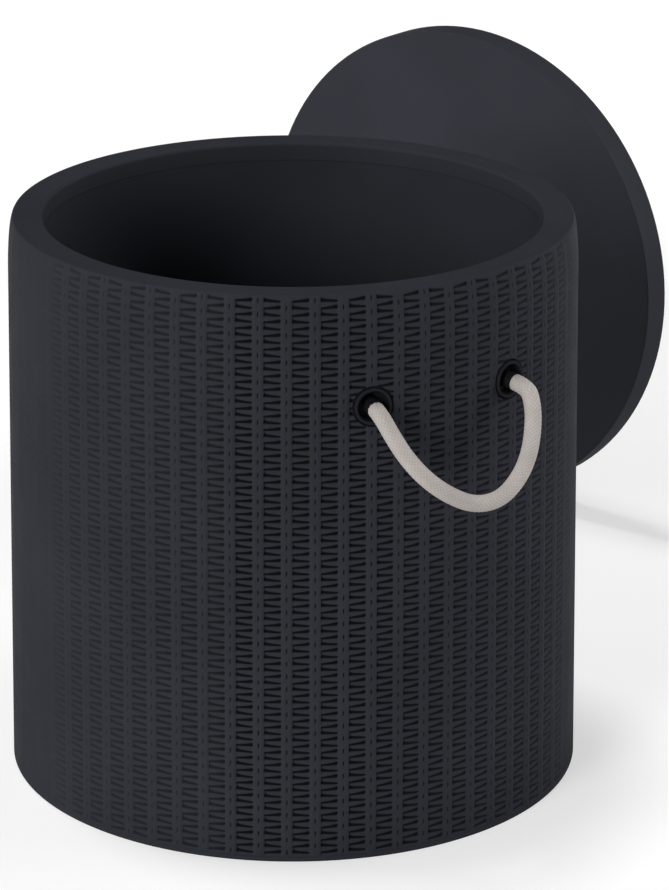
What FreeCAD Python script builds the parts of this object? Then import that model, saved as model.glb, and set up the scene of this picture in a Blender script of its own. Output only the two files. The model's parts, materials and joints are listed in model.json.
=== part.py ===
import FreeCAD, Part
import math
import os
import re

import Sketcher
from FreeCAD import Rotation, Vector

# An insulated tub with rope handles and a flat round lid that makes it a table.
# Millimetres and degrees. +Z is up, the origin is on the floor under the tub's middle,
# and the rope handles are on +X (right) and -X (left). -Y is called the front.
# The lid is off and stands on its edge on the floor behind the tub.

SIZES = {
    # tub, outside
    "tub_height": 421.0,
    "base_radius": 212.6,
    "wall_draught": 5.2,
    "shoulder_height": 30.0,
    "shoulder_inset": 2.6,
    "rim_edge_radius": 3.0,
    "shell_wall": 3.2,
    # the weave's upright columns, sunk into the wall between plain strips
    "column_width": 11.4,
    "column_depth": 1.2,
    "column_azimuth": -2.32,
    "weave_bottom": 4.7,
    "weave_top_margin": 4.5,
    # mouth and liner
    "rim_width": 25.4,
    "mouth_edge_radius": 2.8,
    "lip_depth": 14.0,
    "liner_wall": 2.6,
    "liner_draught": 8.0,
    "floor_height": 38.0,
    "floor_corner_radius": 15.0,
    # base plate, its foot ring, middle pad and screws
    "base_lift": 3.4,
    "base_wall": 2.6,
    "foot_inset": 20.6,
    "foot_width": 10.0,
    "pad_radius": 22.0,
    "boss_sink": 1.0,
    "screw_shaft_radius": 2.0,
    "screw_shaft_length": 14.0,
    "screw_head_radius": 4.0,
    "screw_head_height": 2.4,
    "boss_radius": 6.0,
    "boss_height": 24.0,
    # drain in the tub's floor
    "drain_offset": 105.0,
    "drain_bore_radius": 12.0,
    "drain_wall": 3.0,
    "plug_clearance": 0.3,
    "plug_depth": 24.0,
    "plug_head_radius": 18.0,
    "plug_head_height": 4.0,
    "plug_neck_radius": 5.0,
    "plug_neck_height": 5.0,
    "plug_knob_radius": 9.0,
    "plug_knob_height": 3.0,
    # rope handles and the collars in the wall
    "handle_height": 340.0,
    "hole_angle": 15.7,
    "rope_radius": 6.0,
    "rope_reach": 16.5,
    "rope_gap": 0.3,
    "rope_clearance": 0.5,
    "seat_margin": 0.7,
    "seat_depth": 0.9,
    "seat_pad": 2.0,
    "grommet_flange_radius": 13.3,
    "grommet_flange_height": 1.8,
    "grommet_tube_radius": 11.8,
    "grommet_mouth_radius": 11.2,
    "grommet_well_radius": 10.2,
    "grommet_well_depth": 8.6,
    "grommet_depth": 10.2,
    "grommet_rounding": 0.8,
    "rope_end_radius": 12.0,
    "rope_end_length": 11.0,
    # lid
    "lid_inset": 1.4,
    "lid_depth": 24.7,
    "lid_wall": 3.0,
    "lid_edge_radius": 1.2,
    "lid_boss_clearance": 3.0,
    "lid_boss_depth": 12.0,
    "lid_boss_rounding": 2.6,
    "lid_x": -407.3,
    "lid_y": 408.7,
    "lid_azimuth": -70.5,
    # how far cutting tools run on past what they cut
    "overrun": 20.0,
}

DERIVED = {
    "taper": "wall_draught / tub_height",
    "top_radius": "base_radius - wall_draught",
    "inner_base_radius": "base_radius - shell_wall",
    "shoulder_bottom": "tub_height - shoulder_height",
    "shoulder_bottom_radius": "base_radius - taper * shoulder_bottom",
    "rim_radius": "top_radius - shoulder_inset",
    "rim_inner_radius": "rim_radius - shell_wall",
    "shoulder_slope": "(shoulder_bottom_radius - rim_radius) / shoulder_height",
    "weave_top": "tub_height - weave_top_margin",
    "column_top_radius": "rim_radius + shoulder_slope * weave_top_margin - column_depth",
    "rim_underside": "tub_height - shell_wall",
    "mouth_radius": "top_radius - rim_width",
    "lip_bottom": "tub_height - lip_depth",
    "lip_outer_radius": "mouth_radius + shell_wall",
    "collar_radius": "mouth_radius + shell_wall + liner_wall",
    "collar_bottom": "tub_height - lip_depth - liner_wall",
    "floor_radius": "mouth_radius - liner_draught",
    "liner_base_radius": "floor_radius + liner_wall",
    "liner_underside": "floor_height - liner_wall",
    "base_top": "base_lift + base_wall",
    "plate_radius": "inner_base_radius - taper * base_top",
    "foot_outer_radius": "base_radius - foot_inset",
    "foot_inner_radius": "foot_outer_radius - foot_width",
    "screw_circle_radius": "plate_radius - boss_radius + boss_sink",
    "spigot_radius": "drain_bore_radius + drain_wall",
    "seat_reach": "base_radius - taper * handle_height - seat_depth",
    "seat_radius": "grommet_flange_radius + seat_margin",
    "grommet_bore_radius": "rope_radius + rope_clearance",
    "rope_pivot_radius": "seat_reach + rope_reach",
    "rope_end_start": "seat_reach + grommet_flange_height - grommet_depth - rope_end_length",
    "lid_radius": "top_radius - lid_inset",
    "lid_boss_radius": "mouth_radius - lid_boss_clearance",
    "lid_boss_bottom": "0 - lid_depth - lid_boss_depth",
}

COLUMN_COUNT = 66
SCREW_COUNT = 6
FIRST_SCREW_ANGLE = 30

# The collars by side and place, each with the azimuth of its hole.
HOLES = {
    "right_front": "0 - hole_angle",
    "right_back": "0 + hole_angle",
    "left_front": "180 + hole_angle",
    "left_back": "180 - hole_angle",
}

# Half of the rope loop's centre line, from the bend at its collar to the lowest point:
# how far out from the bend, how far down, and how far from the middle as a share of the bend's.
ROPE_HALF = [
    (11.3, 11.7, 0.967),
    (20.3, 26.2, 0.872),
    (29.8, 40.7, 0.714),
    (37.8, 53.2, 0.482),
    (43.3, 62.7, 0.174),
]

document = FreeCAD.newDocument("cooler_table")
sheet = document.addObject("Spreadsheet::Sheet", "sizes")


def fill_sheet():
    """Writes the driving sizes as plain numbers and the derived ones as formulas."""
    row = 0
    for name, value in SIZES.items():
        row += 1
        sheet.set(f"A{row}", str(value))
        sheet.setAlias(f"A{row}", name)
    for name, formula in DERIVED.items():
        row += 1
        sheet.set(f"A{row}", "=" + formula)
        sheet.setAlias(f"A{row}", name)
    document.recompute()


def bound(expression):
    """The expression with every size's name pointing at the sheet."""
    def point(match):
        word = match.group(0)
        return "sizes." + word if word in SIZES or word in DERIVED else word
    return re.sub(r"\b[a-z_]+\b", point, expression)


def value(expression):
    """The expression's present value as a number."""
    return float(sheet.evalExpression(bound(expression)))


def origin_plane(body, role):
    """One of the body's own origin planes."""
    return next(item for item in body.Origin.OriginFeatures if item.Role == role)


def half_section(body, name, corners):
    """A sketch of straight lines through (radius, height) corners, upright on the body's Z axis."""
    sketch = body.newObject("Sketcher::SketchObject", name)
    sketch.AttachmentSupport = [(origin_plane(body, "XZ_Plane"), "")]
    sketch.MapMode = "FlatFace"
    places = [Vector(value(radius), value(height), 0) for radius, height in corners]
    count = len(places)
    for index in range(count):
        line = Part.LineSegment(places[index], places[(index + 1) % count])
        sketch.addGeometry(line, False)
    for index in range(count):
        sketch.addConstraint(Sketcher.Constraint("Coincident", index, 2, (index + 1) % count, 1))
    for index, corner in enumerate(corners):
        for kind, label, place, size in (
            ("DistanceX", "radius", corner[0], places[index].x),
            ("DistanceY", "height", corner[1], places[index].y),
        ):
            number = sketch.addConstraint(Sketcher.Constraint(kind, -1, 1, index, 1, size))
            sketch.renameConstraint(number, f"{label}_{index}")
            sketch.setExpression(f"Constraints.{label}_{index}", bound(place))
    return sketch


def turned(name, corners):
    """A body turned about its own Z axis from the (radius, height) corners of its half section."""
    body = document.addObject("PartDesign::Body", name)
    sketch = half_section(body, name + "_section", corners)
    revolution = body.newObject("PartDesign::Revolution", name + "_turn")
    revolution.Profile = sketch
    revolution.ReferenceAxis = (sketch, ["V_Axis"])
    revolution.Angle = 360
    body.Tip = revolution
    document.recompute()
    return body


def round_ring(body, radius, height, rounding):
    """Rounds the circular edge of a turned body that has this radius and height."""
    wanted_radius = value(radius)
    wanted_height = value(height)
    turned_shape = body.Tip
    names = []
    for number, edge in enumerate(turned_shape.Shape.Edges, 1):
        curve = edge.Curve
        if not isinstance(curve, Part.Circle):
            continue
        same_radius = abs(curve.Radius - wanted_radius) < 0.01
        if same_radius and abs(curve.Center.z - wanted_height) < 0.01:
            names.append(f"Edge{number}")
    if not names:
        raise ValueError(f"{body.Name} has no ring at {wanted_radius}, {wanted_height}")
    fillet = body.newObject("PartDesign::Fillet", body.Name + "_rounding")
    fillet.Base = (turned_shape, names)
    fillet.setExpression("Radius", bound(rounding))
    body.Tip = fillet
    document.recompute()


def sink_columns(wall):
    """Sinks the weave's columns into the wall, each a shallow groove that follows its profile."""
    whole = wall.Tip.Shape.Volume
    section = half_section(wall, "column_section", [
        ("base_radius - taper * weave_bottom - column_depth", "weave_bottom"),
        ("shoulder_bottom_radius - column_depth", "shoulder_bottom"),
        ("column_top_radius", "weave_top"),
        ("base_radius + overrun", "weave_top"),
        ("base_radius + overrun", "weave_bottom"),
    ])
    spin = "placement(vector(0; 0; 0); rotation(vector(0; 1; 0); column_azimuth * 1deg))"
    section.setExpression("AttachmentOffset", bound(spin))
    groove = wall.newObject("PartDesign::Groove", "column_groove")
    groove.Profile = section
    groove.ReferenceAxis = (section, ["V_Axis"])
    groove.setExpression("Angle", bound("column_width / base_radius * 180 / pi"))
    groove.Midplane = True
    wall.Tip = groove
    document.recompute()
    pattern = wall.newObject("PartDesign::PolarPattern", "columns")
    pattern.Originals = [groove]
    pattern.Axis = (section, ["V_Axis"])
    pattern.Angle = 360
    pattern.Occurrences = COLUMN_COUNT
    wall.Tip = pattern
    document.recompute()
    one = whole - groove.Shape.Volume
    if not abs((whole - pattern.Shape.Volume) / (one * COLUMN_COUNT) - 1) < 0.001:
        raise ValueError("the columns aren't all cut")


def cylinder(name, radius, height, placement):
    """A cylinder whose sizes and placement are expressions."""
    solid = document.addObject("Part::Cylinder", name)
    solid.setExpression("Radius", bound(radius))
    solid.setExpression("Height", bound(height))
    solid.setExpression("Placement", bound(placement))
    return solid


def upright(x, y, z):
    """The placement of a piece that stands upright at a point."""
    return f"placement(vector({x}; {y}; {z}); rotation(vector(0; 0; 1); 0deg))"


def on_drain_axis(z):
    """The placement of an upright piece on the drain's axis."""
    return upright("0", "0 - drain_offset", z)


def around(radius, angle, z):
    """The placement of an upright piece on a circle about the tub's axis."""
    return upright(f"({radius}) * cos({angle}deg)", f"({radius}) * sin({angle}deg)", z)


def radial(azimuth, distance):
    """The placement that lays a piece's own Z axis along the tub's radius at the handles' height."""
    across = f"cos(({azimuth}) * 1deg)"
    along = f"sin(({azimuth}) * 1deg)"
    start = f"vector(({distance}) * {across}; ({distance}) * {along}; handle_height)"
    return f"placement({start}; rotation(vector(-{along}; {across}; 0); 90deg))"


def joined(name, pieces):
    """One solid made of overlapping pieces."""
    union = document.addObject("Part::MultiFuse", name)
    union.Shapes = pieces
    union.Refine = True
    return union


def cut(name, base, tools):
    """The base with the tools cut away, checked to have lost volume."""
    tool = tools[0] if len(tools) == 1 else joined(name + "_tools", tools)
    result = document.addObject("Part::Cut", name)
    result.Base = base
    result.Tool = tool
    document.recompute()
    if not result.Shape.Volume < base.Shape.Volume:
        raise ValueError(f"{name}: nothing was cut")
    return result


def screw_angles():
    """The azimuths of the base plate's screws."""
    return [FIRST_SCREW_ANGLE + number * 360 / SCREW_COUNT for number in range(SCREW_COUNT)]


def bosses(name, radius, bottom, height):
    """Upright cylinders on the screw circle."""
    return [
        cylinder(f"{name}_{number}", radius, height, around("screw_circle_radius", angle, bottom))
        for number, angle in enumerate(screw_angles(), 1)
    ]


def at_holes(name, radius, start, length):
    """Cylinders along the tub's radius, one at each rope hole."""
    return [
        cylinder(f"{name}_{place}", radius, length, radial(azimuth, start))
        for place, azimuth in HOLES.items()
    ]


def make_outer_shell():
    """The wall with its sunk columns, shoulder, rim and lip, screw bosses, rope holes and their seats."""
    wall = turned("shell_wall_body", [
        ("base_radius", "0"),
        ("shoulder_bottom_radius", "shoulder_bottom"),
        ("rim_radius", "tub_height"),
        ("mouth_radius", "tub_height"),
        ("mouth_radius", "lip_bottom"),
        ("lip_outer_radius", "lip_bottom"),
        ("lip_outer_radius", "rim_underside"),
        ("rim_inner_radius", "rim_underside"),
        ("shoulder_bottom_radius - shell_wall", "shoulder_bottom"),
        ("inner_base_radius", "0"),
    ])
    round_ring(wall, "rim_radius", "tub_height", "rim_edge_radius")
    round_ring(wall, "mouth_radius", "tub_height", "mouth_edge_radius")
    sink_columns(wall)
    posts = bosses("shell_boss", "boss_radius", "base_top", "boss_height")
    pads = at_holes("shell_pad", "seat_radius", "seat_reach - seat_pad", "seat_pad")
    body = joined("shell_with_bosses", [wall] + posts + pads)
    pilots = bosses("shell_pilot", "screw_shaft_radius", "base_lift", "screw_shaft_length")
    holes = at_holes("shell_hole", "grommet_tube_radius", "seat_reach - overrun", "overrun * 2")
    seats = at_holes("shell_seat", "seat_radius", "seat_reach", "overrun")
    return cut("outer_shell", body, pilots + holes + seats)


def make_inner_liner():
    """The cup with its collar behind the shell's lip and the drain spigot under its floor."""
    cup = turned("liner_cup", [
        ("0", "floor_height"),
        ("floor_radius", "floor_height"),
        ("mouth_radius", "lip_bottom"),
        ("lip_outer_radius", "lip_bottom"),
        ("lip_outer_radius", "rim_underside"),
        ("collar_radius", "rim_underside"),
        ("collar_radius", "collar_bottom"),
        ("mouth_radius + liner_wall", "collar_bottom"),
        ("liner_base_radius", "liner_underside"),
        ("0", "liner_underside"),
    ])
    round_ring(cup, "floor_radius", "floor_height", "floor_corner_radius")
    round_ring(cup, "liner_base_radius", "liner_underside", "floor_corner_radius + liner_wall")
    spigot = cylinder(
        "liner_spigot", "spigot_radius", "floor_height - base_lift", on_drain_axis("base_lift")
    )
    bore = cylinder("liner_drain_bore", "drain_bore_radius", "floor_height + overrun", on_drain_axis("0"))
    return cut("inner_liner", joined("liner_with_spigot", [cup, spigot]), [bore])


def make_base_plate():
    """The closing plate with a foot ring, a middle pad, screw holes and the drain's outlet."""
    plate = turned("base_plate_body", [
        ("0", "0"),
        ("pad_radius", "0"),
        ("pad_radius", "base_lift"),
        ("foot_inner_radius", "base_lift"),
        ("foot_inner_radius", "0"),
        ("foot_outer_radius", "0"),
        ("foot_outer_radius", "base_lift"),
        ("plate_radius", "base_lift"),
        ("plate_radius", "base_top"),
        ("0", "base_top"),
    ])
    outlet = cylinder("plate_outlet", "spigot_radius", "overrun", on_drain_axis("0"))
    holes = bosses("plate_hole", "screw_shaft_radius", "0", "overrun")
    return cut("base_plate", plate, [outlet] + holes)


def make_base_screws():
    """The screws through the base plate, each a pan head and a shaft."""
    screws = []
    for number, angle in enumerate(screw_angles(), 1):
        head = cylinder(
            f"screw_head_{number}",
            "screw_head_radius",
            "screw_head_height",
            around("screw_circle_radius", angle, "base_lift - screw_head_height"),
        )
        shaft = cylinder(
            f"screw_shaft_{number}",
            "screw_shaft_radius",
            "screw_shaft_length",
            around("screw_circle_radius", angle, "base_lift"),
        )
        screws.append(joined(f"screw_{number}", [head, shaft]))
    group = document.addObject("Part::Compound", "base_screws")
    group.Links = screws
    return group


def make_wall_insulation():
    """The foam ring in the wall, with pockets for the bosses, collars and rope ends."""
    ring = turned("foam_ring", [
        ("liner_base_radius", "base_top"),
        ("plate_radius", "base_top"),
        ("shoulder_bottom_radius - shell_wall", "shoulder_bottom"),
        ("rim_inner_radius", "rim_underside"),
        ("collar_radius", "rim_underside"),
        ("collar_radius", "collar_bottom"),
        ("mouth_radius + liner_wall", "collar_bottom"),
        ("liner_base_radius", "liner_underside"),
    ])
    posts = bosses("foam_boss", "boss_radius", "base_top", "boss_height")
    pockets = at_holes("foam_pocket", "rope_end_radius", "rope_end_start", "overrun * 2")
    return cut("wall_insulation", ring, posts + pockets)


def make_floor_insulation():
    """The foam disc under the liner's floor, with a hole for the drain spigot."""
    thickness = "liner_underside - base_top"
    disc = cylinder("foam_disc", "liner_base_radius", thickness, upright("0", "0", "base_top"))
    hole = cylinder("foam_drain_hole", "spigot_radius", "floor_height", on_drain_axis("0"))
    return cut("floor_insulation", disc, [hole])


def make_drain_plug():
    """The rubber plug: a shaft in the spigot, a head on the floor and a knob to pull it by."""
    plug = turned("drain_plug", [
        ("0", "floor_height - plug_depth"),
        ("drain_bore_radius - plug_clearance", "floor_height - plug_depth"),
        ("drain_bore_radius - plug_clearance", "floor_height"),
        ("plug_head_radius", "floor_height"),
        ("plug_head_radius", "floor_height + plug_head_height"),
        ("plug_neck_radius", "floor_height + plug_head_height"),
        ("plug_neck_radius", "floor_height + plug_head_height + plug_neck_height"),
        ("plug_knob_radius", "floor_height + plug_head_height + plug_neck_height"),
        ("plug_knob_radius", "floor_height + plug_head_height + plug_neck_height + plug_knob_height"),
        ("0", "floor_height + plug_head_height + plug_neck_height + plug_knob_height"),
    ])
    plug.setExpression("Placement", bound(on_drain_axis("0")))
    return plug


def make_rope_grommet(name, azimuth):
    """A collar with a well and the rope's bore in its bottom, and a rounded flange on the shell's seat."""
    grommet = turned(name, [
        ("grommet_bore_radius", "grommet_flange_height - grommet_depth"),
        ("grommet_tube_radius", "grommet_flange_height - grommet_depth"),
        ("grommet_tube_radius", "0"),
        ("grommet_flange_radius", "0"),
        ("grommet_flange_radius", "grommet_flange_height"),
        ("grommet_mouth_radius", "grommet_flange_height"),
        ("grommet_well_radius", "grommet_flange_height - grommet_well_depth"),
        ("grommet_bore_radius", "grommet_flange_height - grommet_well_depth"),
    ])
    round_ring(grommet, "grommet_flange_radius", "grommet_flange_height", "grommet_rounding")
    round_ring(grommet, "grommet_mouth_radius", "grommet_flange_height", "grommet_rounding")
    grommet.setExpression("Placement", bound(radial(azimuth, "seat_reach")))
    return grommet


def make_rope_end(name, azimuth):
    """The rope's stopper behind its collar and the straight rope out to the bend, round at its tip."""
    start = radial(azimuth, "rope_end_start")
    stopper = cylinder(name + "_stopper", "rope_end_radius", "rope_end_length", start)
    rope = cylinder(name + "_rope", "rope_radius", "rope_pivot_radius - rope_end_start", start)
    tip = document.addObject("Part::Sphere", name + "_tip")
    tip.setExpression("Radius", bound("rope_radius"))
    tip.setExpression("Placement", bound(radial(azimuth, "rope_pivot_radius")))
    return joined(name, [stopper, rope, tip])


def rope_points(side):
    """The loop's centre line from one bend to the other; side is 1 for right and -1 for left."""
    angle = math.radians(value("hole_angle"))
    reach = value("rope_pivot_radius")
    bend = Vector(reach * math.cos(angle), reach * math.sin(angle), value("handle_height"))
    half = [bend]
    for out, down, share in ROPE_HALF:
        half.append(Vector(bend.x + out, bend.y * share, bend.z - down))
    whole = half + [Vector(point.x, -point.y, point.z) for point in reversed(half)]
    gap = value("rope_radius + rope_gap")
    whole[0] = half[0] + (half[1] - half[0]).normalize() * gap
    whole[-1] = Vector(whole[0].x, -whole[0].y, whole[0].z)
    return [Vector(side * point.x, point.y, point.z) for point in whole]


def rounded_path(name, points):
    """Straight runs joined by tangent arcs."""
    share = 0.45
    edges = []
    radii = []
    start = points[0]
    for before, corner, after in zip(points, points[1:], points[2:]):
        arriving = corner - before
        leaving = after - corner
        setback = share * min(arriving.Length, leaving.Length)
        turn = arriving.getAngle(leaving)
        radius = setback / math.tan(turn / 2)
        arriving.normalize()
        leaving.normalize()
        inward = (leaving - arriving).normalize()
        arc_start = corner - arriving * setback
        arc_end = corner + leaving * setback
        middle = corner + inward * (radius / math.cos(turn / 2) - radius)
        edges.append(Part.LineSegment(start, arc_start).toShape())
        edges.append(Part.Arc(arc_start, middle, arc_end).toShape())
        radii.append(radius)
        start = arc_end
    edges.append(Part.LineSegment(start, points[-1]).toShape())
    print(name, "arc radii", [round(radius, 1) for radius in radii])
    path = document.addObject("Part::Feature", name)
    path.Shape = Part.Wire(edges)
    return path


def make_handle_rope(name, side):
    """The hanging loop of rope between the two bends of one handle."""
    points = rope_points(side)
    path = rounded_path(name + "_path", points)
    section = document.addObject("Part::Circle", name + "_section")
    section.setExpression("Radius", bound("rope_radius"))
    section.Placement.Base = points[0]
    section.Placement.Rotation = Rotation(Vector(0, 0, 1), points[1] - points[0])
    rope = document.addObject("Part::Sweep", name)
    rope.Sections = [section]
    rope.Spine = path
    rope.Solid = True
    document.recompute()
    length = path.Shape.Length
    tube = math.pi * value("rope_radius") ** 2 * length
    print(f"{name} length {length:.1f} volume {rope.Shape.Volume:.0f} section x length {tube:.0f}")
    return rope


def standing_lid():
    """The placement of the lid's pieces, whose own Z axis points out of the table top."""
    across = "cos(lid_azimuth * 1deg)"
    along = "sin(lid_azimuth * 1deg)"
    return f"placement(vector(lid_x; lid_y; lid_radius); rotation(vector(-{along}; {across}; 0); 90deg))"


def make_lid_top():
    """The table top with its rim wall."""
    top = turned("lid_top", [
        ("0", "0"),
        ("lid_radius", "0"),
        ("lid_radius", "0 - lid_depth"),
        ("lid_radius - lid_wall", "0 - lid_depth"),
        ("lid_radius - lid_wall", "0 - lid_wall"),
        ("0", "0 - lid_wall"),
    ])
    round_ring(top, "lid_radius", "0", "lid_edge_radius")
    top.setExpression("Placement", bound(standing_lid()))
    return top


def make_lid_underside():
    """The lower skin with the hollow boss that drops into the tub's mouth."""
    skin = turned("lid_underside", [
        ("0", "lid_boss_bottom"),
        ("lid_boss_radius", "lid_boss_bottom"),
        ("lid_boss_radius", "0 - lid_depth"),
        ("lid_radius - lid_wall", "0 - lid_depth"),
        ("lid_radius - lid_wall", "lid_wall - lid_depth"),
        ("lid_boss_radius - lid_wall", "lid_wall - lid_depth"),
        ("lid_boss_radius - lid_wall", "lid_boss_bottom + lid_wall"),
        ("0", "lid_boss_bottom + lid_wall"),
    ])
    round_ring(skin, "lid_boss_radius", "lid_boss_bottom", "lid_boss_rounding")
    skin.setExpression("Placement", bound(standing_lid()))
    return skin


def make_lid_insulation():
    """The foam that fills the lid and its boss."""
    foam = turned("lid_insulation", [
        ("0", "0 - lid_wall"),
        ("lid_radius - lid_wall", "0 - lid_wall"),
        ("lid_radius - lid_wall", "lid_wall - lid_depth"),
        ("lid_boss_radius - lid_wall", "lid_wall - lid_depth"),
        ("lid_boss_radius - lid_wall", "lid_boss_bottom + lid_wall"),
        ("0", "lid_boss_bottom + lid_wall"),
    ])
    foam.setExpression("Placement", bound(standing_lid()))
    return foam


def make_pieces():
    """Every piece by the name of its file."""
    pieces = {
        "outer_shell": make_outer_shell(),
        "inner_liner": make_inner_liner(),
        "base_plate": make_base_plate(),
        "base_screws": make_base_screws(),
        "wall_insulation": make_wall_insulation(),
        "floor_insulation": make_floor_insulation(),
        "drain_plug": make_drain_plug(),
        "lid_top": make_lid_top(),
        "lid_underside": make_lid_underside(),
        "lid_insulation": make_lid_insulation(),
        "handle_rope_right": make_handle_rope("handle_rope_right", 1),
        "handle_rope_left": make_handle_rope("handle_rope_left", -1),
    }
    for place, azimuth in HOLES.items():
        pieces["rope_grommet_" + place] = make_rope_grommet("rope_grommet_" + place, azimuth)
        pieces["rope_end_" + place] = make_rope_end("rope_end_" + place, azimuth)
    return pieces


def write_pieces(pieces):
    """Checks every piece and writes it to its own file."""
    os.makedirs("parts", exist_ok=True)
    for name, piece in pieces.items():
        piece.Label = name
        states = set(piece.State)
        if states & {"Invalid", "Error"} or piece.Shape.isNull() or not piece.Shape.isValid():
            raise ValueError(f"{name} is broken: {sorted(states)}")
        piece.Shape.exportStep(f"parts/{name}.step")
        print(f"{name:26s} volume {piece.Shape.Volume:12.0f}  solids {len(piece.Shape.Solids)}")


fill_sheet()
parts = make_pieces()
document.recompute()
write_pieces(parts)
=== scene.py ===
import json
import math

import bmesh
import bpy
from mathutils import Matrix, Vector

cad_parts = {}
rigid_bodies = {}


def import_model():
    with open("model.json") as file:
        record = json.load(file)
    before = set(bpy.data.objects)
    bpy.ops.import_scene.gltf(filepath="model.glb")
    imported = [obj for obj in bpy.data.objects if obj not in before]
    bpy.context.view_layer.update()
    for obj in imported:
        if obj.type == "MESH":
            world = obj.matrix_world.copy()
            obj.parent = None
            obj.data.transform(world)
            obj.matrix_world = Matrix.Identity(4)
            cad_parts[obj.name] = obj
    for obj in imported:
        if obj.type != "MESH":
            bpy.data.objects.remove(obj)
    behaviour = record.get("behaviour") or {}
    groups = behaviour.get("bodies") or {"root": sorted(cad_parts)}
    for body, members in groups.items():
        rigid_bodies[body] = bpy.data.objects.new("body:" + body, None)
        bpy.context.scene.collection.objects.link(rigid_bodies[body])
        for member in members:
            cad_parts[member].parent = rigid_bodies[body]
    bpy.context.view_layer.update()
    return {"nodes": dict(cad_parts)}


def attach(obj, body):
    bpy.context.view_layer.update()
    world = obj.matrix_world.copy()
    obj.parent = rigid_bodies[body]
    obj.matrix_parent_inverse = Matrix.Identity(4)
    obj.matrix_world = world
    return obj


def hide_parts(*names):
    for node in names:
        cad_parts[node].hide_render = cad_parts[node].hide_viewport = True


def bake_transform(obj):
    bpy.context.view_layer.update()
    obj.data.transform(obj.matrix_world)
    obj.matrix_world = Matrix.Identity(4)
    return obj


# The dressed tub with rope handles and its flat round lid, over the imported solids.
# Metres and degrees. +Z is up, the origin is on the floor under the tub's middle,
# and the rope handles are on +X (right) and -X (left).

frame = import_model()

MM = 0.001
SHARP_ANGLE = math.radians(38)

# Tub
TUB_HEIGHT = 0.421
BASE_RADIUS = 0.2126
TOP_RADIUS = 0.2074
TAPER = (BASE_RADIUS - TOP_RADIUS) / TUB_HEIGHT
SHOULDER_START = 0.382
SHOULDER_INSET = 0.0041
MOUTH_RADIUS = 0.182
LIP_DEPTH = 0.014
WALL = 0.0032
RELIEF_ROOM = 0.0028
FOOT_LIP_HEIGHT = 0.0036
FOOT_LIP_EASE = 0.0002
CORE_WALL_GAP = 0.0008
RIM_CORNER_INSET = 0.0062

# Weave moulded into the wall
COLUMNS = 66
PANELS = 6
ROWS = 86
FIRST_GROOVE_AZIMUTH = -86.87
FIRST_SLOT_HEIGHT = 0.0071
ROW_PITCH = 0.004825
COLUMN_PITCH = 2 * math.pi * BASE_RADIUS / COLUMNS
WEAVE_TOP = FIRST_SLOT_HEIGHT + (ROWS - 0.5) * ROW_PITCH
RIM_RUN = 0.0078
PANEL_EDGE_DEPTH = 0.0019

# One patch of the weave, laid out flat, in millimetres. The band of slots ends at BAND_EDGE
# each side of its middle, and PATCH_LINES are the lines of points across its right half.
HALF_COLUMN = COLUMN_PITCH / 2 / MM
HALF_ROW = ROW_PITCH / 2 / MM
BAND_EDGE = 5.7
PATCH_LINES = (1.6, 4.7, BAND_EDGE, 6.4)
GROOVE_REACH = 1.1
GROOVE_DEPTH = 0.8
SHALLOW_GROOVE = 0.2
SLOT_SLANT = 0.42
SLOT_DEPTH = 2.4
SLOT_OPENING = 1.1
TUCK_DEPTH = 1.0
TUCK_RUN = 3.2
END_DEPTH = 0.4
END_RUN = 1.4
STRIP_DEPTH = 0.14
STRIP_DEPTH_BY_GROOVE = 0.1
STRIP_EASE = 1.2
CELL_KINDS = ("slot", "rim", "foot")

# Painted shade on the weave, more the deeper a place lies, from 0 in the open to 1 at a slot's floor:
# on strands' tucked ends, darker where the upright strand would shadow them from light on the left and
# paler on the others, in the groove in the middle of a row and on its crown lines, and on a slot's
# floor and edges, each with what its wide end adds. It shows from HOLLOW_SEEN on, and from HOLLOW_DARK
# on it is darkest.
TUCKED_DARK = 0.36
TUCKED_PALE = 0.14
HOLLOW_GROOVE = 0.52
HOLLOW_GROOVE_AT_CROWN = 0.32
HOLLOW_FLOOR = (0.7, 0.3)
HOLLOW_EDGE = (0.14, 0.18)
HOLLOW_SEEN = 0.16
HOLLOW_DARK = 0.44

# Rope handles and their collars
HANDLE_HEIGHT = 0.340
HOLE_ANGLE = 15.7
ROPE_RADIUS = 0.006
ROPE_PIVOT_RADIUS = 0.224
ROPE_START_RADIUS = 0.196
# How far from each end the rope's painted shade reaches
SHADED_END_LENGTH = 0.0178
STOPPER_START = 0.1883
STOPPER_LENGTH = 0.0105
STOPPER_INNER_RADIUS = 0.0105
STOPPER_OUTER_RADIUS = 0.0118
SEAT_RADIUS = 0.0148
SEAT_REACH = BASE_RADIUS - TAPER * HANDLE_HEIGHT - 0.0009
SEAT_DEPTH = 0.0024
SEAT_SUNK = 0.0003
GROMMET_TUBE_RADIUS = 0.0118
DRILL_CLEARANCE = 0.00005
DRILL_REACH = 0.02
HOLES = {
    "right_front": -HOLE_ANGLE,
    "right_back": HOLE_ANGLE,
    "left_front": 180 + HOLE_ANGLE,
    "left_back": 180 - HOLE_ANGLE,
}

# Half of the rope loop's route from the bend at its collar to the lowest point:
# how far out from the bend, how far down, and how far from the middle as a share of the bend's.
ROPE_HALF = [
    (0.0113, 0.0117, 0.967),
    (0.0203, 0.0262, 0.872),
    (0.0298, 0.0407, 0.714),
    (0.0378, 0.0532, 0.482),
    (0.0433, 0.0627, 0.174),
]

# The braid's skin
STRANDS_EACH_WAY = 12
STRAND_SPACING = 0.0029
BRAID_DEPTH = 0.4 * MM
ROPE_STEPS_ROUND = 96
ROPE_STEP_ALONG = 0.45 * MM

# The viewpoint fitted to the photograph, with angles in degrees and the lens in millimetres
CAMERA_PLACE = (2.4404, -1.4663, 1.267)
CAMERA_HEADING = 58.388
CAMERA_DOWN = 19.845
CAMERA_LEAN = 0.158
CAMERA_LENS = 164.95

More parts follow.
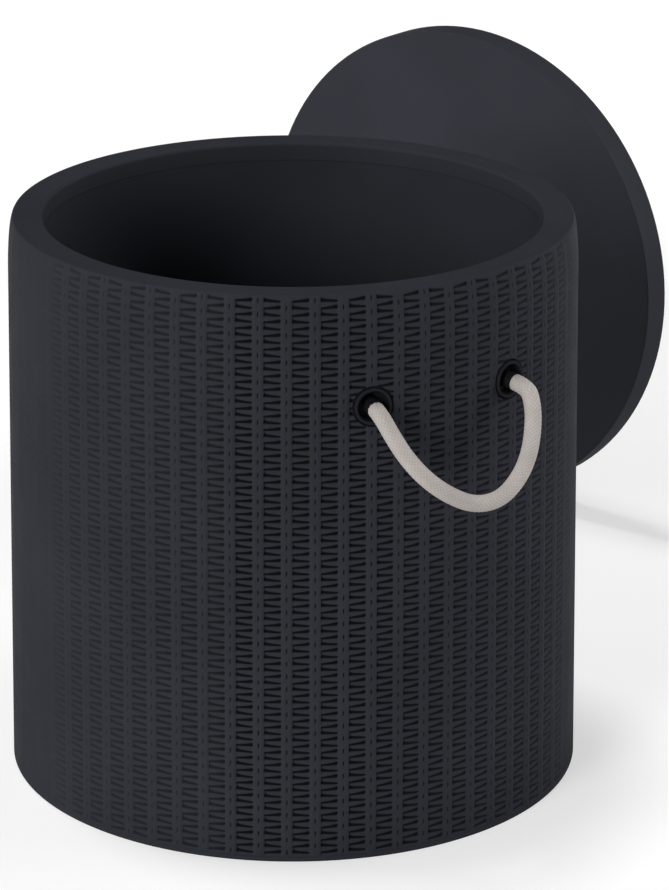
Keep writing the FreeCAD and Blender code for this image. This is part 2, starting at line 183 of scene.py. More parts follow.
# Studio: each lamp's azimuth, elevation, strength and softness, with angles in degrees
LAMPS = {
    "overhead": (-163, 79, 1.1, 12),
    "key": (-66, 19, 1.75, 25),
    "left_fill": (-110, 8, 1.0, 60),
    "right_fill": (72, 6, 2.85, 60),
}
WORLD_LIGHT = 0.12
BACKDROP_LIGHT = 1.0
FLOOR_COLOUR = (0.87, 0.862, 0.865, 1)
FLOOR_GLOW = 1.66
FLOOR_GLOW_SHARE = 0.3


# Meshes

def new_piece(name, points, faces):
    """A smooth-shaded object at the origin made of these points and faces."""
    mesh = bpy.data.meshes.new(name)
    mesh.from_pydata(points, [], faces)
    mesh.polygons.foreach_set("use_smooth", [True] * len(mesh.polygons))
    mesh.update()
    piece = bpy.data.objects.new(name, mesh)
    bpy.context.scene.collection.objects.link(piece)
    return piece


def rounded(corners, steps=4):
    """A profile with arcs at its corners, each given as (radius, height, rounding)."""
    points = []
    count = len(corners)
    for index, (radius, height, rounding) in enumerate(corners):
        corner = Vector((radius, height))
        if rounding == 0:
            points.append(corner)
            continue
        back = (Vector(corners[index - 1][:2]) - corner).normalized()
        ahead = (Vector(corners[(index + 1) % count][:2]) - corner).normalized()
        half_angle = back.angle(ahead) / 2
        setback = rounding / math.tan(half_angle)
        start = corner + back * setback
        end = corner + ahead * setback
        centre = corner + (back + ahead).normalized() * (rounding / math.sin(half_angle))
        for step in range(steps + 1):
            direction = start.lerp(end, step / steps) - centre
            points.append(centre + direction.normalized() * rounding)
    return points


def turned_piece(name, profile, steps=264):
    """A closed piece turned about Z from a profile that runs counter-clockwise in (radius, height)."""
    points = []
    rings = []
    for radius, height in profile:
        if radius < 1e-7:
            rings.append([len(points)] * steps)
            points.append((0, 0, height))
            continue
        ring = []
        for step in range(steps):
            angle = 2 * math.pi * step / steps
            ring.append(len(points))
            points.append((radius * math.cos(angle), radius * math.sin(angle), height))
        rings.append(ring)
    faces = []
    for lower, upper in zip(rings, rings[1:] + rings[:1]):
        for step in range(steps):
            ahead = (step + 1) % steps
            corners = [lower[step], lower[ahead], upper[ahead], upper[step]]
            face = [c for place, c in enumerate(corners) if c != corners[place - 1]]
            if len(face) > 2:
                faces.append(face)
    piece = new_piece(name, points, faces)
    piece.data.set_sharp_from_angle(angle=SHARP_ANGLE)
    return piece


def finished_mesh(holder):
    """The plain mesh of an object as its modifiers or its curve make it."""
    bpy.context.view_layer.update()
    return bpy.data.meshes.new_from_object(holder.evaluated_get(bpy.context.evaluated_depsgraph_get()))


def placed(piece, matrix):
    """Moves the piece's points, so that its object stays at the origin."""
    piece.data.transform(matrix)
    piece.data.update()
    return piece


def tub_radius(height):
    """The outer radius of the weave's crowns at a height, with the shoulder's gentle curve."""
    share = max(height - SHOULDER_START, 0) / (TUB_HEIGHT - SHOULDER_START)
    drawn_in = SHOULDER_INSET * (1 - math.sqrt(max(1 - share * share, 0)))
    return BASE_RADIUS - TAPER * height - drawn_in


def outward_at(azimuth):
    """The direction away from the tub's axis at this azimuth in degrees."""
    angle = math.radians(azimuth)
    return Vector((math.cos(angle), math.sin(angle), 0))


def collar_place(azimuth, distance=SEAT_REACH):
    """The matrix that lays a piece's own Z axis along the tub's radius at a rope hole."""
    outward = outward_at(azimuth)
    turn = Matrix.Rotation(math.pi / 2, 4, Vector((-outward.y, outward.x, 0)))
    return Matrix.Translation(outward * distance + Vector((0, 0, HANDLE_HEIGHT))) @ turn


# Node helpers

def add(tree, kind, inputs=None, **settings):
    """Adds a node, with its settings and what goes into its inputs: numbers, colours or sockets."""
    node = tree.nodes.new(kind)
    for name, value in settings.items():
        setattr(node, name, value)
    for name, value in (inputs or {}).items():
        if isinstance(value, bpy.types.NodeSocket):
            tree.links.new(value, node.inputs[name])
        else:
            node.inputs[name].default_value = value
    return node


def reckon(tree, operation, *values):
    """The result socket of a Math node."""
    return add(tree, "ShaderNodeMath", dict(enumerate(values)), operation=operation).outputs[0]


def ramp(tree, value, low, high, start=0.0, end=1.0, shape="LINEAR"):
    """The value carried from low..high to start..end."""
    node = add(
        tree,
        "ShaderNodeMapRange",
        {"Value": value, "From Min": low, "From Max": high, "To Min": start, "To Max": end},
        interpolation_type=shape,
    )
    return node.outputs["Result"]


def blended(tree, share, first, second):
    """A colour between two."""
    node = add(tree, "ShaderNodeMix", data_type="RGBA")
    for socket, value in ((node.inputs[0], share), (node.inputs[6], first), (node.inputs[7], second)):
        if isinstance(value, bpy.types.NodeSocket):
            tree.links.new(value, socket)
        else:
            socket.default_value = value
    return node.outputs[2]


def new_group(name, kind, inputs, outputs):
    """A node group with named float inputs, given as name: default, and typed outputs."""
    tree = bpy.data.node_groups.new(name, kind)
    for label, value in inputs.items():
        socket = tree.interface.new_socket(label, in_out="INPUT", socket_type="NodeSocketFloat")
        socket.default_value = value
    for label, socket_type in outputs.items():
        tree.interface.new_socket(label, in_out="OUTPUT", socket_type=socket_type)
    return tree


def shade(colour, share):
    """A lighter or darker copy of a colour."""
    return tuple(min(part * share, 1) for part in colour[:3]) + (1,)


def from_srgb(red, green, blue):
    """A colour in linear light from its screen values of 0 to 255."""
    def linear(part):
        part = part / 255
        return part / 12.92 if part <= 0.04045 else ((part + 0.055) / 1.055) ** 2.4
    return (linear(red), linear(green), linear(blue), 1)


# Shared effects

def make_moulding_grain():
    """The fine pebbled skin of a plastic mould: height for bump, and two slow variations."""
    tree = new_group(
        "Moulding Grain",
        "ShaderNodeTree",
        {"Grains Per Metre": 1500.0},
        {"Height": "NodeSocketFloat", "Tint": "NodeSocketFloat", "Gloss": "NodeSocketFloat"},
    )
    source = tree.nodes.new("NodeGroupInput")
    result = tree.nodes.new("NodeGroupOutput")
    place = tree.nodes.new("ShaderNodeTexCoord").outputs["Object"]
    scale = source.outputs["Grains Per Metre"]
    pebbles = add(tree, "ShaderNodeTexVoronoi", {"Vector": place, "Scale": scale}, feature="SMOOTH_F1")
    skin = add(tree, "ShaderNodeTexNoise", {"Vector": place, "Scale": scale, "Detail": 3.0})
    height = reckon(tree, "MULTIPLY_ADD", pebbles.outputs["Distance"], 0.6, skin.outputs["Fac"])
    clouds = add(tree, "ShaderNodeTexNoise", {"Vector": place, "Scale": 9.0, "Detail": 2.0})
    streaks = add(tree, "ShaderNodeTexNoise", {"Vector": place, "Scale": 38.0, "Detail": 4.0})
    tree.links.new(height, result.inputs["Height"])
    tree.links.new(clouds.outputs["Fac"], result.inputs["Tint"])
    tree.links.new(streaks.outputs["Fac"], result.inputs["Gloss"])
    return tree


def make_handling_wear():
    """Sparse fine scratches and rubbed patches, as a mask."""
    tree = new_group(
        "Handling Wear",
        "ShaderNodeTree",
        {"Scratches Per Metre": 60.0, "Amount": 0.5},
        {"Mask": "NodeSocketFloat"},
    )
    source = tree.nodes.new("NodeGroupInput")
    result = tree.nodes.new("NodeGroupOutput")
    place = tree.nodes.new("ShaderNodeTexCoord").outputs["Object"]
    lines = []
    for turn, stretch in ((0.4, (1.0, 14.0, 3.0)), (-0.9, (12.0, 1.0, 4.0))):
        laid = {"Vector": place, "Rotation": (turn, 0.3, turn), "Scale": stretch}
        lie = add(tree, "ShaderNodeMapping", laid)
        noise = add(
            tree,
            "ShaderNodeTexNoise",
            {"Vector": lie.outputs["Vector"], "Scale": source.outputs["Scratches Per Metre"], "Detail": 2.0},
        )
        lines.append(ramp(tree, noise.outputs["Fac"], 0.66, 0.72, shape="SMOOTHSTEP"))
    patches = add(tree, "ShaderNodeTexNoise", {"Vector": place, "Scale": 14.0, "Detail": 3.0})
    rubbed = ramp(tree, patches.outputs["Fac"], 0.52, 0.7, shape="SMOOTHSTEP")
    scratches = reckon(tree, "MAXIMUM", *lines)
    both = reckon(tree, "MULTIPLY", scratches, rubbed)
    mask = reckon(tree, "MULTIPLY", both, source.outputs["Amount"])
    tree.links.new(mask, result.inputs["Mask"])
    return tree


MOULDING_GRAIN = make_moulding_grain()
HANDLING_WEAR = make_handling_wear()


def use_group(tree, group, **values):
    """A placed copy of a shared effect; underscores in the names stand for spaces."""
    inputs = {name.replace("_", " "): value for name, value in values.items()}
    return add(tree, "ShaderNodeGroup", inputs, node_tree=group)


# Materials

GRAPHITE = from_srgb(49, 50, 56)


def new_material(name, constants):
    """A material whose Principled shader has these constant values; gives it, its tree and the shader."""
    material = bpy.data.materials.new(name)
    material.use_nodes = True
    tree = material.node_tree
    shader = tree.nodes["Principled BSDF"]
    for socket, value in constants.items():
        shader.inputs[socket].default_value = value
    return material, tree, shader


def wear_bump(tree, shader, height, depth):
    """A bump of this depth in metres on the shader."""
    bump = add(tree, "ShaderNodeBump", {"Height": height, "Distance": depth, "Strength": 1.0})
    tree.links.new(bump.outputs["Normal"], shader.inputs["Normal"])


def moulded_plastic(name, colour, roughness=0.5, grain=1500.0, depth=0.02 * MM, wear=0.35, specular=0.01):
    """Grained injection-moulded plastic with slow tint changes and light scratches."""
    material, tree, shader = new_material(name, {"Specular IOR Level": specular})
    grained = use_group(tree, MOULDING_GRAIN, Grains_Per_Metre=grain)
    worn = use_group(tree, HANDLING_WEAR, Amount=wear)
    tint = ramp(tree, grained.outputs["Tint"], 0.3, 0.7)
    plain = blended(tree, tint, shade(colour, 0.93), shade(colour, 1.07))
    final = blended(tree, worn.outputs["Mask"], plain, shade(colour, 1.7))
    tree.links.new(final, shader.inputs["Base Color"])
    gloss = ramp(tree, grained.outputs["Gloss"], 0.3, 0.7, roughness - 0.06, roughness + 0.06)
    tree.links.new(gloss, shader.inputs["Roughness"])
    wear_bump(tree, shader, grained.outputs["Height"], depth)
    return material


def weave_plastic(name, colour):
    """The shell's plastic on the weave: painted shade, nearly black, down in the slots and grooves, and
    rubbed lighter on the crowns.
    """
    material, tree, shader = new_material(name, {"Specular IOR Level": 0.01})
    grained = use_group(tree, MOULDING_GRAIN, Grains_Per_Metre=1400.0)
    worn = use_group(tree, HANDLING_WEAR, Amount=0.35)
    painted_shade = add(tree, "ShaderNodeAttribute", attribute_name="painted_shade").outputs["Fac"]
    draught = add(tree, "ShaderNodeAttribute", attribute_name="draught").outputs["Fac"]
    tint = ramp(tree, grained.outputs["Tint"], 0.3, 0.7)
    plain = blended(tree, tint, shade(colour, 0.93), shade(colour, 1.07))
    crown = ramp(tree, painted_shade, 0.0, HOLLOW_SEEN, 1.0, 0.0, "SMOOTHSTEP")
    scuffed = reckon(tree, "MULTIPLY", worn.outputs["Mask"], crown)
    rubbed = blended(tree, scuffed, plain, shade(colour, 1.7))
    # Painted shade in the slots, grooves and tucked ends, from the attribute stored on the weave and scaled
    # by the draught share; shaded places are also rougher.
    opening = ramp(tree, painted_shade, HOLLOW_SEEN, HOLLOW_DARK, 0.0, 0.9, "SMOOTHSTEP")
    shade_amount = reckon(tree, "MULTIPLY", opening, draught)
    final = blended(tree, shade_amount, rubbed, shade(colour, 0.14))
    tree.links.new(final, shader.inputs["Base Color"])
    gloss = ramp(tree, grained.outputs["Gloss"], 0.3, 0.7, 0.5, 0.6)
    dull = reckon(tree, "MULTIPLY_ADD", shade_amount, 0.4, gloss)
    tree.links.new(dull, shader.inputs["Roughness"])
    wear_bump(tree, shader, grained.outputs["Height"], 0.02 * MM)
    return material


def braided_rope(name, colour):
    """Pale braided cord: fibres along each strand, soiled patches, painted shade between the strands, and
    painted shade, nearly black, on its ends in and by the collars.
    """
    material, tree, shader = new_material(name, {"Specular IOR Level": 0.05})
    depth = add(tree, "ShaderNodeAttribute", attribute_name="relief").outputs["Fac"]
    slant = add(tree, "ShaderNodeAttribute", attribute_name="slant").outputs["Fac"]
    sheet_place = add(tree, "ShaderNodeUVMap", uv_map="rope").outputs["UV"]
    around = add(tree, "ShaderNodeSeparateXYZ", {"Vector": sheet_place})
    leaned = reckon(tree, "MULTIPLY", around.outputs["Y"], slant)
    fibre = reckon(tree, "ADD", around.outputs["X"], leaned)
    wave = reckon(tree, "SINE", reckon(tree, "MULTIPLY", fibre, 900.0))
    place = tree.nodes.new("ShaderNodeTexCoord").outputs["Object"]
    fuzz = add(tree, "ShaderNodeTexNoise", {"Vector": place, "Scale": 1800.0, "Detail": 3.0})
    soil = add(tree, "ShaderNodeTexNoise", {"Vector": place, "Scale": 45.0, "Detail": 3.0})
    soiled = ramp(tree, soil.outputs["Fac"], 0.35, 0.7)
    clean = blended(tree, soiled, shade(colour, 1.04), shade(colour, 0.88))
    lined = blended(tree, ramp(tree, wave, -1.0, 1.0, 0.0, 0.3), clean, shade(colour, 0.85))
    # Painted shade in the low places between the strands.
    shaded_braid = blended(tree, ramp(tree, depth, 0.15, 0.95, 0.0, 0.5, "SMOOTHSTEP"), lined, shade(colour, 0.5))
    # Painted shade, nearly black, over the rope's ends in the collars' holes and a little beyond, where the
    # hole is in shadow.
    end_shade = ramp(tree, around.outputs["Y"], SHADED_END_LENGTH, SHADED_END_LENGTH + 0.0004, 1.0, 0.0)
    final = blended(tree, end_shade, shaded_braid, shade(GRAPHITE, 0.3))
    tree.links.new(final, shader.inputs["Base Color"])
    rough = ramp(tree, fuzz.outputs["Fac"], 0.3, 0.7, 0.72, 0.9)
    tree.links.new(rough, shader.inputs["Roughness"])
    height = reckon(tree, "MULTIPLY_ADD", wave, 0.35, fuzz.outputs["Fac"])
    wear_bump(tree, shader, height, 0.05 * MM)
    return material


def plug_rubber(name, colour):
    """Matt rubber with a bloom of dust."""
    material, tree, shader = new_material(name, {"Specular IOR Level": 0.3})
    grained = use_group(tree, MOULDING_GRAIN, Grains_Per_Metre=2200.0)
    dust = ramp(tree, grained.outputs["Gloss"], 0.45, 0.75, 0.0, 0.3)
    final = blended(tree, dust, colour, shade(colour, 2.6))
    tree.links.new(final, shader.inputs["Base Color"])
    tree.links.new(ramp(tree, grained.outputs["Gloss"], 0.3, 0.7, 0.7, 0.85), shader.inputs["Roughness"])
    wear_bump(tree, shader, grained.outputs["Height"], 0.015 * MM)
    return material


def screw_steel(name):
    """Zinc-plated steel with fine turning marks."""
    material, tree, shader = new_material(name, {"Metallic": 1.0})
    worn = use_group(tree, HANDLING_WEAR, Scratches_Per_Metre=260.0, Amount=0.8)
    place = tree.nodes.new("ShaderNodeTexCoord").outputs["Object"]
    bloom = add(tree, "ShaderNodeTexNoise", {"Vector": place, "Scale": 420.0, "Detail": 3.0})
    base = blended(tree, bloom.outputs["Fac"], (0.46, 0.46, 0.45, 1), (0.62, 0.61, 0.58, 1))
    final = blended(tree, worn.outputs["Mask"], base, (0.25, 0.24, 0.22, 1))
    tree.links.new(final, shader.inputs["Base Color"])
    tree.links.new(ramp(tree, bloom.outputs["Fac"], 0.3, 0.7, 0.28, 0.42), shader.inputs["Roughness"])
    wear_bump(tree, shader, bloom.outputs["Fac"], 0.01 * MM)
    return material


def insulation_foam(name, colour):
    """Cream rigid foam with open cells."""
    material, tree, shader = new_material(name, {"Specular IOR Level": 0.2})
    place = tree.nodes.new("ShaderNodeTexCoord").outputs["Object"]
    cells = add(tree, "ShaderNodeTexVoronoi", {"Vector": place, "Scale": 900.0})
    clouds = add(tree, "ShaderNodeTexNoise", {"Vector": place, "Scale": 30.0, "Detail": 3.0})
    base = blended(tree, clouds.outputs["Fac"], shade(colour, 0.85), shade(colour, 1.05))
    final = blended(tree, ramp(tree, cells.outputs["Distance"], 0.0, 0.6, 0.4, 0.0), base, shade(colour, 0.6))
    tree.links.new(final, shader.inputs["Base Color"])
    tree.links.new(ramp(tree, clouds.outputs["Fac"], 0.3, 0.7, 0.85, 0.95), shader.inputs["Roughness"])
    wear_bump(tree, shader, cells.outputs["Distance"], 0.2 * MM)
    return material


SHELL_PLASTIC = moulded_plastic("shell_plastic", GRAPHITE, 0.5)
WEAVE_PLASTIC = weave_plastic("weave_plastic", GRAPHITE)
LINER_PLASTIC = moulded_plastic("liner_plastic", shade(GRAPHITE, 0.9), 0.45, 1700.0, 0.012 * MM, 0.4)
BASE_PLASTIC = moulded_plastic("base_plastic", shade(GRAPHITE, 0.85), 0.55, 1300.0, 0.02 * MM, 0.6)
# Lighter than the tub's graphite as painted light, making up for the light that the tub keeps off the lid.
LID_PLASTIC = moulded_plastic("lid_plastic", shade(GRAPHITE, 1.2), 0.48, 1500.0, 0.02 * MM, 0.3)
# Darker than the tub's graphite as painted shade, for the shadow in the rope holes.
SHADED_GROMMET_PLASTIC = moulded_plastic("grommet_plastic", shade(GRAPHITE, 0.6), 0.4, 2200.0, 0.01 * MM, 0.3)
# Near black as painted shade, for the shadowed ring round each collar.
SHADED_SEAT_PLASTIC = moulded_plastic("seat_plastic_painted_shade", shade(GRAPHITE, 0.3), 0.7, 1500.0, 0.02 * MM, 0.0)
ROPE_CORD = braided_rope("rope_cord", from_srgb(190, 183, 178))
# Darker than the rope as painted shade, for the stoppers seen deep in the holes.
ROPE_END_CORD = moulded_plastic("rope_end_cord", from_srgb(96, 90, 86), 0.8, 900.0, 0.1 * MM, 0.2, 0.2)
PLUG_RUBBER = plug_rubber("plug_rubber", from_srgb(30, 30, 32))
SCREW_STEEL = screw_steel("screw_steel")
FOAM = insulation_foam("insulation_foam", from_srgb(214, 202, 160))


def dress(piece, material, body):
    """Gives a made piece its material and the body it moves with."""
    piece.data.materials.clear()
    piece.data.materials.append(material)
    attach(piece, body)
    return piece


def dress_node(name, material):
    """Gives a carried-over CAD node its material."""
    for slot in frame["nodes"][name].material_slots:
        slot.material = material


# Camera

def make_camera():
    """The photograph's viewpoint: 2.85 m away, 1.27 m up, looking down at the tub."""
    data = bpy.data.cameras.new("camera")
    data.sensor_width = 36.0
    data.lens = CAMERA_LENS
    data.clip_end = 50.0
    camera = bpy.data.objects.new("camera", data)
    bpy.context.scene.collection.objects.link(camera)
    heading = math.radians(CAMERA_HEADING)
    down = math.radians(CAMERA_DOWN)
    lean = math.radians(CAMERA_LEAN)
    turn = (
        Matrix.Rotation(heading, 4, "Z")
        @ Matrix.Rotation(math.pi / 2 - down, 4, "X")
        @ Matrix.Rotation(lean, 4, "Z")
    )
    camera.matrix_world = Matrix.Translation(CAMERA_PLACE) @ turn
    bpy.context.scene.camera = camera


# Rope handles

def rope_route(side):
    """The rope's route from inside one hole, round the loop, into the other; side 1 is the right."""
    angle = math.radians(HOLE_ANGLE)
    half = [
        Vector((radius * math.cos(angle), radius * math.sin(angle), HANDLE_HEIGHT))
        for radius in (ROPE_START_RADIUS, ROPE_PIVOT_RADIUS)
    ]
    bend = half[1]
    for out, down, share in ROPE_HALF:
        half.append(Vector((bend.x + out, bend.y * share, bend.z - down)))
    whole = half + [Vector((point.x, -point.y, point.z)) for point in reversed(half)]
    return [Vector((side * point.x, point.y, point.z)) for point in whole]


def spline_points(name, route):
    """Closely spaced points on the smooth curve that has the route's points as control points."""
    curve = bpy.data.curves.new(name, "CURVE")
    curve.dimensions = "3D"
    curve.resolution_u = 24
    spline = curve.splines.new("NURBS")
    spline.points.add(len(route) - 1)
    for place, point in zip(spline.points, route):
        place.co = (*point, 1)
    spline.order_u = 3
    spline.use_endpoint_u = True
    holder = bpy.data.objects.new(name, curve)
    bpy.context.scene.collection.objects.link(holder)
    mesh = finished_mesh(holder)
    points = [vertex.co.copy() for vertex in mesh.vertices]
    bpy.data.objects.remove(holder)
    bpy.data.curves.remove(curve)
    bpy.data.meshes.remove(mesh)
    return points


def evenly_spaced(points, spacing):
    """The line's points spaced evenly, with the whole length."""
    lengths = [0.0]
    for before, after in zip(points, points[1:]):
        lengths.append(lengths[-1] + (after - before).length)
    count = round(lengths[-1] / spacing)
    result = []
    index = 0
    for step in range(count + 1):
        wanted = lengths[-1] * step / count
        while index < len(points) - 2 and lengths[index + 1] < wanted:
            index += 1
        share = (wanted - lengths[index]) / (lengths[index + 1] - lengths[index])
        result.append(points[index].lerp(points[index + 1], share))
    return result, lengths[-1]


def braid_height(turn, along):
    """How high the braid stands at a place, from 0 between strands to 1, and which way its strand leans."""
    first = turn * STRANDS_EACH_WAY + along / STRAND_SPACING
    second = turn * STRANDS_EACH_WAY - along / STRAND_SPACING
    rising = (math.floor(first) + math.floor(second)) % 2 == 0
    across, length = (first, second) if rising else (second, first)
    rib = math.sin(math.pi * (across % 1))
    swell = math.sin(math.pi * (length % 1))
    return math.sqrt(max(rib, 0)) * (0.55 + 0.45 * swell), 1.0 if rising else -1.0


def make_rope(name, side):
    """One handle's braided rope as a tube whose skin stands up where a strand passes over."""
    route = rope_route(side)
    line, length = evenly_spaced(spline_points(name + "_line", route), ROPE_STEP_ALONG)
    tangents = []
    for index in range(len(line)):
        before = line[max(index - 1, 0)]
        after = line[min(index + 1, len(line) - 1)]
        tangents.append((after - before).normalized())
    normal = tangents[0].cross(Vector((0, 0, 1))).normalized()
    points = []
    relief = []
    slant = []
    for index, centre in enumerate(line):
        normal = (normal - tangents[index] * normal.dot(tangents[index])).normalized()
        sideways = tangents[index].cross(normal)
        along = length * index / (len(line) - 1)
        for step in range(ROPE_STEPS_ROUND):
            turn = step / ROPE_STEPS_ROUND
            height, lean = braid_height(turn, along)
            reach = ROPE_RADIUS - BRAID_DEPTH * (1 - height)
            angle = 2 * math.pi * turn
            points.append(centre + (normal * math.cos(angle) + sideways * math.sin(angle)) * reach)
            relief.append(1 - height)
            slant.append(lean)
    faces = []
    for index in range(len(line) - 1):
        for step in range(ROPE_STEPS_ROUND):
            ahead = (step + 1) % ROPE_STEPS_ROUND
            here = index * ROPE_STEPS_ROUND
            there = here + ROPE_STEPS_ROUND
            faces.append((here + step, here + ahead, there + ahead, there + step))
    for ring, centre in ((0, line[0]), (len(line) - 1, line[-1])):
        points.append(centre)
        relief.append(0.0)
        slant.append(1.0)
        for step in range(ROPE_STEPS_ROUND):
            ahead = (step + 1) % ROPE_STEPS_ROUND
            edge = (ring * ROPE_STEPS_ROUND + step, ring * ROPE_STEPS_ROUND + ahead)
            faces.append((len(points) - 1, *(edge if ring else reversed(edge))))
    rope = new_piece(name, points, faces)
    store_rope_attributes(rope.data, relief, slant, length / (len(line) - 1))
    return rope, line, length


def store_rope_attributes(mesh, relief, slant, step_length):
    """The braid's depth and lean at each point, and a map of arc round and length from the nearer end."""
    for label, values in (("relief", relief), ("slant", slant)):
        mesh.attributes.new(label, "FLOAT", "POINT").data.foreach_set("value", values)
    layer = mesh.uv_layers.new(name="rope")
    arc = 2 * math.pi * ROPE_RADIUS / ROPE_STEPS_ROUND
    rings = len(mesh.vertices) // ROPE_STEPS_ROUND
    for polygon in mesh.polygons:
        steps = [mesh.loops[loop].vertex_index % ROPE_STEPS_ROUND for loop in polygon.loop_indices]
        wraps = max(steps) - min(steps) > ROPE_STEPS_ROUND / 2
        for loop, step in zip(polygon.loop_indices, steps):
            around = step + (ROPE_STEPS_ROUND if wraps and step == 0 else 0)
            ring = min(mesh.loops[loop].vertex_index // ROPE_STEPS_ROUND, rings - 1)
            from_end = min(ring, rings - 1 - ring)
            layer.data[loop].uv = (around * arc, from_end * step_length)


def make_handle(side_name, side):
    """A rope handle: fixed in the wall at its ends, made in place of the CAD rope and its ends, which it
    hides.
    """
    rope, line, length = make_rope("braided_handle_" + side_name, side)
    rope.data.materials.append(ROPE_CORD)
    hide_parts("handle_rope_" + side_name, f"rope_end_{side_name}_front", f"rope_end_{side_name}_back")
    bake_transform(rope)


def make_stopper(place, azimuth):
    """The melted and clamped end of the rope behind its collar."""
    profile = rounded([
        (0, 0, 0),
        (STOPPER_INNER_RADIUS, 0, 0.0025),
        (STOPPER_OUTER_RADIUS, STOPPER_LENGTH, 0.002),
        (0, STOPPER_LENGTH, 0),
    ])
    stopper = turned_piece("rope_stopper_" + place, profile, 48)
    placed(stopper, collar_place(azimuth, STOPPER_START))
    return dress(stopper, ROPE_END_CORD, "tub")


# Woven wall

def make_cell(name, kind, side):
    """A patch of the flat weave in mm; side -1 is its mirror image.

    kind "slot" has a slot that rises to the right between two halves of a strand, with half of an
    upright strand at each end. Kinds "rim" and "foot" close the weave above and below.
    """
    right_half = list(PATCH_LINES) + [HALF_COLUMN - GROOVE_REACH, HALF_COLUMN]
    across = [-u for u in reversed(right_half)] + right_half
    if kind == "slot":
        rows = [slot_row(across, share, side) for share in (-1.0, -0.5, 0.0, 0.5, 1.0)]
    elif kind == "rim":
        rows = rim_rows(across)
    else:
        rows = foot_rows(across)
    points = []
    painted_shade = []
    for row in rows:
        for u, (v, w, dark) in zip(across, row):
            points.append((side * u * MM, v * MM, w * MM))
            painted_shade.append(dark)
    count = len(across)
    faces = []
    for row in range(len(rows) - 1):
        for column in range(count - 1):
            corner = row * count + column
            face = (corner, corner + 1, corner + count + 1, corner + count)
            faces.append(face if side > 0 else face[::-1])
    mesh = bpy.data.meshes.new(name)
    mesh.from_pydata(points, [], faces)
    mesh.polygons.foreach_set("use_smooth", [True] * len(mesh.polygons))
    # Each point's painted shade, for the weave's material.
    mesh.attributes.new("painted_shade", "FLOAT", "POINT").data.foreach_set("value", painted_shade)
    crease = [abs(abs(point[0]) - HALF_COLUMN * MM) < 0.01 * MM for point in points]
    if kind == "rim":
        crease = [place // count == len(rows) - 2 for place in range(len(points))]
    sharp = [crease[edge.vertices[0]] and crease[edge.vertices[1]] for edge in mesh.edges]
    mesh.attributes.new("sharp_edge", "BOOLEAN", "EDGE").data.foreach_set("value", sharp)
    return bpy.data.objects.new(name, mesh)


def eased(value):
    """A smooth step from 0 to 1."""
    value = min(max(value, 0), 1)
    return value * value * (3 - 2 * value)


def crown_depth(u):
    """The depth of a weft strand's crown line, tucked in at its left end and a little at its right."""
    tucked = TUCK_DEPTH * (1 - eased((u + BAND_EDGE) / TUCK_RUN))
    lowered = END_DEPTH * (1 - eased((BAND_EDGE - u) / END_RUN))
    return -tucked - lowered


def strand_depth(u, groove):
    """The depth of the upright strands: rounded, with a groove between the two."""
    from_groove = HALF_COLUMN - abs(u)
    if from_groove < 0.01:
        return -groove
    if from_groove < STRIP_EASE:
        return -STRIP_DEPTH_BY_GROOVE
    return -STRIP_DEPTH


def in_slots(u):
    """Whether a place across the patch is on the weft strands, and not on the upright ones."""
    return abs(u) < BAND_EDGE + 0.01


def slot_row(across, share, side):
    """One line of a slot patch, from crown line (share -1 or 1) through slot edge (0.5) to its floor (0).

    The slot is wide and deep at its upper end. Half of the grooves are deep, so that they are dashed.
    Each point carries painted shade, and strands tucked in at the left end get a painted shadow there.
    """
    # Painted shade: a darker painted shadow on tucked ends at the left, as from light on the left, and shade
    # in the grooves.
    dark_tuck = TUCKED_DARK if (share < 0) == (side > 0) else TUCKED_PALE
    dark_groove = HOLLOW_GROOVE_AT_CROWN if abs(share) == 1 else HOLLOW_GROOVE
    row = []
    # Each point is (place up the patch, depth, painted shade).
    for u in across:
        lean = min(max(u / BAND_EDGE, -1), 1)
        wide = 0.72 + 0.28 * lean
        line = SLOT_SLANT * lean
        if abs(share) == 0.5:
            line += math.copysign(SLOT_OPENING * (0.92 + 0.08 * lean), share)
        elif abs(share) == 1:
            line = share * HALF_ROW
        if not in_slots(u):
            groove = GROOVE_DEPTH * (1 - abs(share)) if u > 0 else SHALLOW_GROOVE
            dark = dark_groove if u > HALF_COLUMN - 0.01 else 0.0
            row.append((line, strand_depth(u, max(groove, SHALLOW_GROOVE)), dark))
            continue
        crown = crown_depth(u) if share < 0 else crown_depth(-u)
        floor = -SLOT_DEPTH * wide
        tuck = dark_tuck * max(-crown - 0.4, 0) / 0.6
        if abs(share) == 1:
            row.append((line, crown, tuck))
        elif share == 0:
            row.append((line, min(floor, crown - 0.3), HOLLOW_FLOOR[0] + HOLLOW_FLOOR[1] * wide))
        else:
            dark = max(HOLLOW_EDGE[0] + HOLLOW_EDGE[1] * wide, tuck)
            row.append((line, crown + 0.4 * min(floor - crown, -0.5), dark))
    return row


def rim_rows(across):
    """The plain end above the top slots: the strands fade out below the crest, and the rim is smooth."""
    strips = [strand_depth(u, SHALLOW_GROOVE) for u in across]
    rows = [[(0, crown_depth(-u) if in_slots(u) else strip, 0.0) for u, strip in zip(across, strips)]]
    plain_rises = [(rise, 0) for rise in (1.45, 2.2, 3.8, 6.0, RIM_RUN / MM)]
    for rise, share in [(0.45, 0.6), (0.95, 0.25)] + plain_rises:
        rows.append([(rise, 0 if in_slots(u) else share * strip, 0.0) for u, strip in zip(across, strips)])
    rows.append([(RIM_RUN / MM + 0.05, -1.6, 0.0) for u in across])
    return rows


def foot_rows(across):
    """The strands' lower ends, run out to the plain foot."""
    return [
        [(-1.1, -0.5, 0.0) for u in across],
        [(-0.55, -0.3, 0.0) for u in across],
        [(0, crown_depth(u) if in_slots(u) else strand_depth(u, SHALLOW_GROOVE), 0.0) for u in across],
    ]


def make_cells():
    """A collection of the patches in their numbers' order: slot, rim, foot, each rising then falling."""
    cells = bpy.data.collections.new("weave_cells")
    for number, kind in enumerate(CELL_KINDS):
        cells.objects.link(make_cell(f"cell_{number}_a_{kind}_rising", kind, 1))
        cells.objects.link(make_cell(f"cell_{number}_b_{kind}_falling", kind, -1))
    return cells


